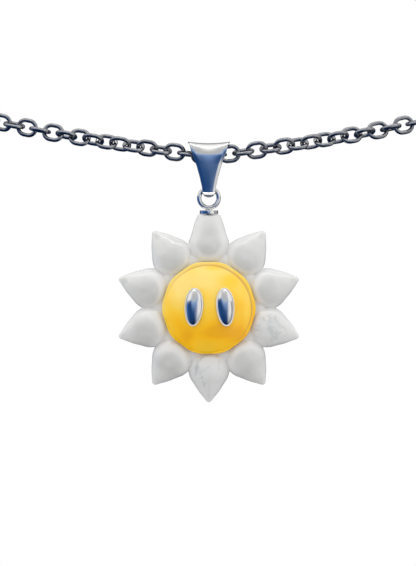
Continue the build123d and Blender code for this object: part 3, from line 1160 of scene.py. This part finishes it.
def studio_world():
    """A white backdrop, soft light on the stone, and the studio that the metal mirrors."""
    world = bpy.data.worlds.new("studio")
    add = node_adder(world)
    place = add("TexCoord")["Generated"]
    right, back, up = add("SeparateXYZ", {"Vector": place})
    height = add("MapRange", {"Value": up, "From Min": -1.0, "From Max": 1.0})["Result"]
    ahead = add("Math", {0: back, 1: -1.0}, operation="MULTIPLY")
    # Turn from the front, 0.5 straight ahead of the pendant, more to the viewer's right
    turn = add("Math", {0: right, 1: ahead["Value"]}, operation="ARCTAN2")
    around = add("MapRange", {"Value": turn["Value"], "From Min": -math.pi, "From Max": math.pi})
    leaning = add("Math", {0: up, 1: WALL_LEAN, 2: around["Result"]}, operation="MULTIPLY_ADD")
    stops = [(level, linear(code)) for level, code in WALLS]
    walls = add("ValToRGB", {"Fac": leaning["Value"]}, stops=stops)
    # The studio is dark blue below the pendant, and the dark comes highest behind it
    slope = add("Math", {0: back, 1: -0.14, 2: up}, operation="MULTIPLY_ADD")
    depth = add("MapRange", {"Value": slope["Value"], "From Min": -0.1, "From Max": -0.8})
    behind = add("MapRange", {"Value": back, "From Min": 0.42, "From Max": 0.6})
    # The ceiling's lower edge is bowed: it comes lowest straight ahead
    side = add("Math", {0: right, 1: right}, operation="MULTIPLY")["Value"]
    bow = add("MapRange", {"Value": side, "From Max": 0.2, "To Max": -0.12})
    bowed = add("Math", {0: height, 1: bow["Result"]}, operation="ADD")
    stops = [(level, linear(code, cover)) for level, code, cover in CEILING]
    ceiling = add("ValToRGB", {"Fac": bowed["Value"]}, stops=stops)
    # It is whiter to the sides, and grey behind the pendant
    sides = add("MapRange", {"Value": side, "From Min": 0.08, "From Max": 0.35})
    stops = [(level, (bright, bright, bright, 1.0)) for level, bright in SOFT_LIGHT]
    soft = add("ValToRGB", {"Fac": height}, stops=stops)
    rays = add("LightPath")
    # Each layer: its name, the layer under it, its share, and the layer or colour that it adds
    layers = {"walls": walls["Color"], "ceiling": ceiling["Color"], "soft": soft["Color"]}
    for name, under, share, added in (
        ("dark floor", "walls", depth["Result"], "#0D2142"),
        ("below", "dark floor", behind["Result"], "#1C3355"),
        ("white sides", "ceiling", sides["Result"], "#F4F4F6"),
        ("overhead", "white sides", behind["Result"], "#A4A4AB"),
        ("mirrored", "below", ceiling["Alpha"], "overhead"),
        ("lit", "soft", rays["Is Glossy Ray"], "mirrored"),
        ("seen", "lit", rays["Is Camera Ray"], "#FFFFFF"),
    ):
        over = layers[added] if added in layers else linear(added)
        inputs = {MIX_FACTOR: share, MIX_A: layers[under], MIX_B: over}
        layers[name] = add("Mix", inputs, data_type="RGBA")[MIX_RESULT]
    glow = add("Background", {"Color": layers["seen"]})
    add("OutputWorld", {"Surface": glow["Background"]})
    return world


class PENDANT_OT_stage(bpy.types.Operator):
    """Adds the pale floor, the studio's light and the camera"""

    bl_idname = "pendant.stage"
    bl_label = "Stage"

    def execute(self, context):
        settings = context.scene.pendant_stage
        scene = context.scene
        scene.view_settings.view_transform = "Standard"
        scene.view_settings.look = "None"

        mesh = bpy.data.meshes.new("floor")
        half = FLOOR_HALF * MM
        drop = -settings.floor_drop
        corners = [(-half, -half, drop), (half, -half, drop), (half, half, drop), (-half, half, drop)]
        mesh.from_pydata(corners, [], [(0, 1, 2, 3)])
        mesh.materials.append(make_material(matt_backdrop_paper, settings.floor_colour))
        floor = bpy.data.objects.new("floor", mesh)
        scene.collection.objects.link(floor)
        # The metal mirrors the dark studio below it, not the paper, and the paper lights nothing
        floor.visible_glossy = False
        floor.visible_diffuse = False

        camera_data = bpy.data.cameras.new("camera")
        camera_data.lens = CAMERA_LENS
        camera_data.sensor_width = CAMERA_SENSOR
        camera_data.clip_start = CAMERA_NEAREST * MM
        camera = bpy.data.objects.new("camera", camera_data)
        camera.location = Vector((CAMERA_RIGHT, FRONT_Y - CAMERA_AHEAD, FRONT_Z - CAMERA_DOWN)) * MM
        camera.rotation_euler = (math.pi / 2, 0, 0)
        scene.collection.objects.link(camera)
        scene.camera = camera

        flower = Vector(FLOWER_MIDDLE) * MM
        lamp_data = bpy.data.lights.new("overhead_strip", "AREA")
        lamp_data.shape = "RECTANGLE"
        lamp_data.size = LAMP_LENGTH * MM
        lamp_data.size_y = LAMP_WIDTH * MM
        lamp_data.energy = LAMP_WATTS
        lamp = bpy.data.objects.new("overhead_strip", lamp_data)
        lamp.location = flower + Vector((0.0, -LAMP_AHEAD, LAMP_UP)) * MM
        lamp.rotation_euler = (flower - lamp.location).to_track_quat("-Z", "Y").to_euler()
        scene.collection.objects.link(lamp)
        scene.world = studio_world()
        return {"FINISHED"}


class PENDANT_PT_panel(bpy.types.Panel):
    """The pendant's sizes and pieces"""

    bl_label = "Flower pendant"
    bl_idname = "PENDANT_PT_panel"
    bl_space_type = "VIEW_3D"
    bl_region_type = "UI"
    bl_category = "Flower pendant"

    def draw(self, context):
        for operator, key, group in PIECES:
            box = self.layout.box()
            settings = getattr(context.scene, key)
            for name in group.__annotations__:
                box.prop(settings, name)
            box.operator(operator.bl_idname)


# Each operator, with the scene property that holds its settings, in the order of making
PIECES = (
    (PENDANT_OT_stage, "pendant_stage", StageSettings),
    (PENDANT_OT_chain, "pendant_chain", ChainSettings),
    (PENDANT_OT_bail, "pendant_bail", BailSettings),
    (PENDANT_OT_ring, "pendant_ring", RingSettings),
    (PENDANT_OT_petals, "pendant_petals", PetalSettings),
    (PENDANT_OT_centre, "pendant_centre", CentreSettings),
    (PENDANT_OT_studs, "pendant_studs", StudSettings),
)


def register():
    for operator, key, group in PIECES:
        bpy.utils.register_class(group)
        bpy.utils.register_class(operator)
        setattr(bpy.types.Scene, key, bpy.props.PointerProperty(type=group))
    bpy.utils.register_class(PENDANT_PT_panel)


def unregister():
    bpy.utils.unregister_class(PENDANT_PT_panel)
    for operator, key, group in reversed(PIECES):
        delattr(bpy.types.Scene, key)
        bpy.utils.unregister_class(operator)
        bpy.utils.unregister_class(group)


def main():
    register()
    bpy.ops.pendant.stage()
    bpy.ops.pendant.chain()
    bpy.ops.pendant.bail()
    bpy.ops.pendant.ring()
    bpy.ops.pendant.petals()
    bpy.ops.pendant.centre()
    bpy.ops.pendant.studs()


if __name__ == "__main__":
    main()
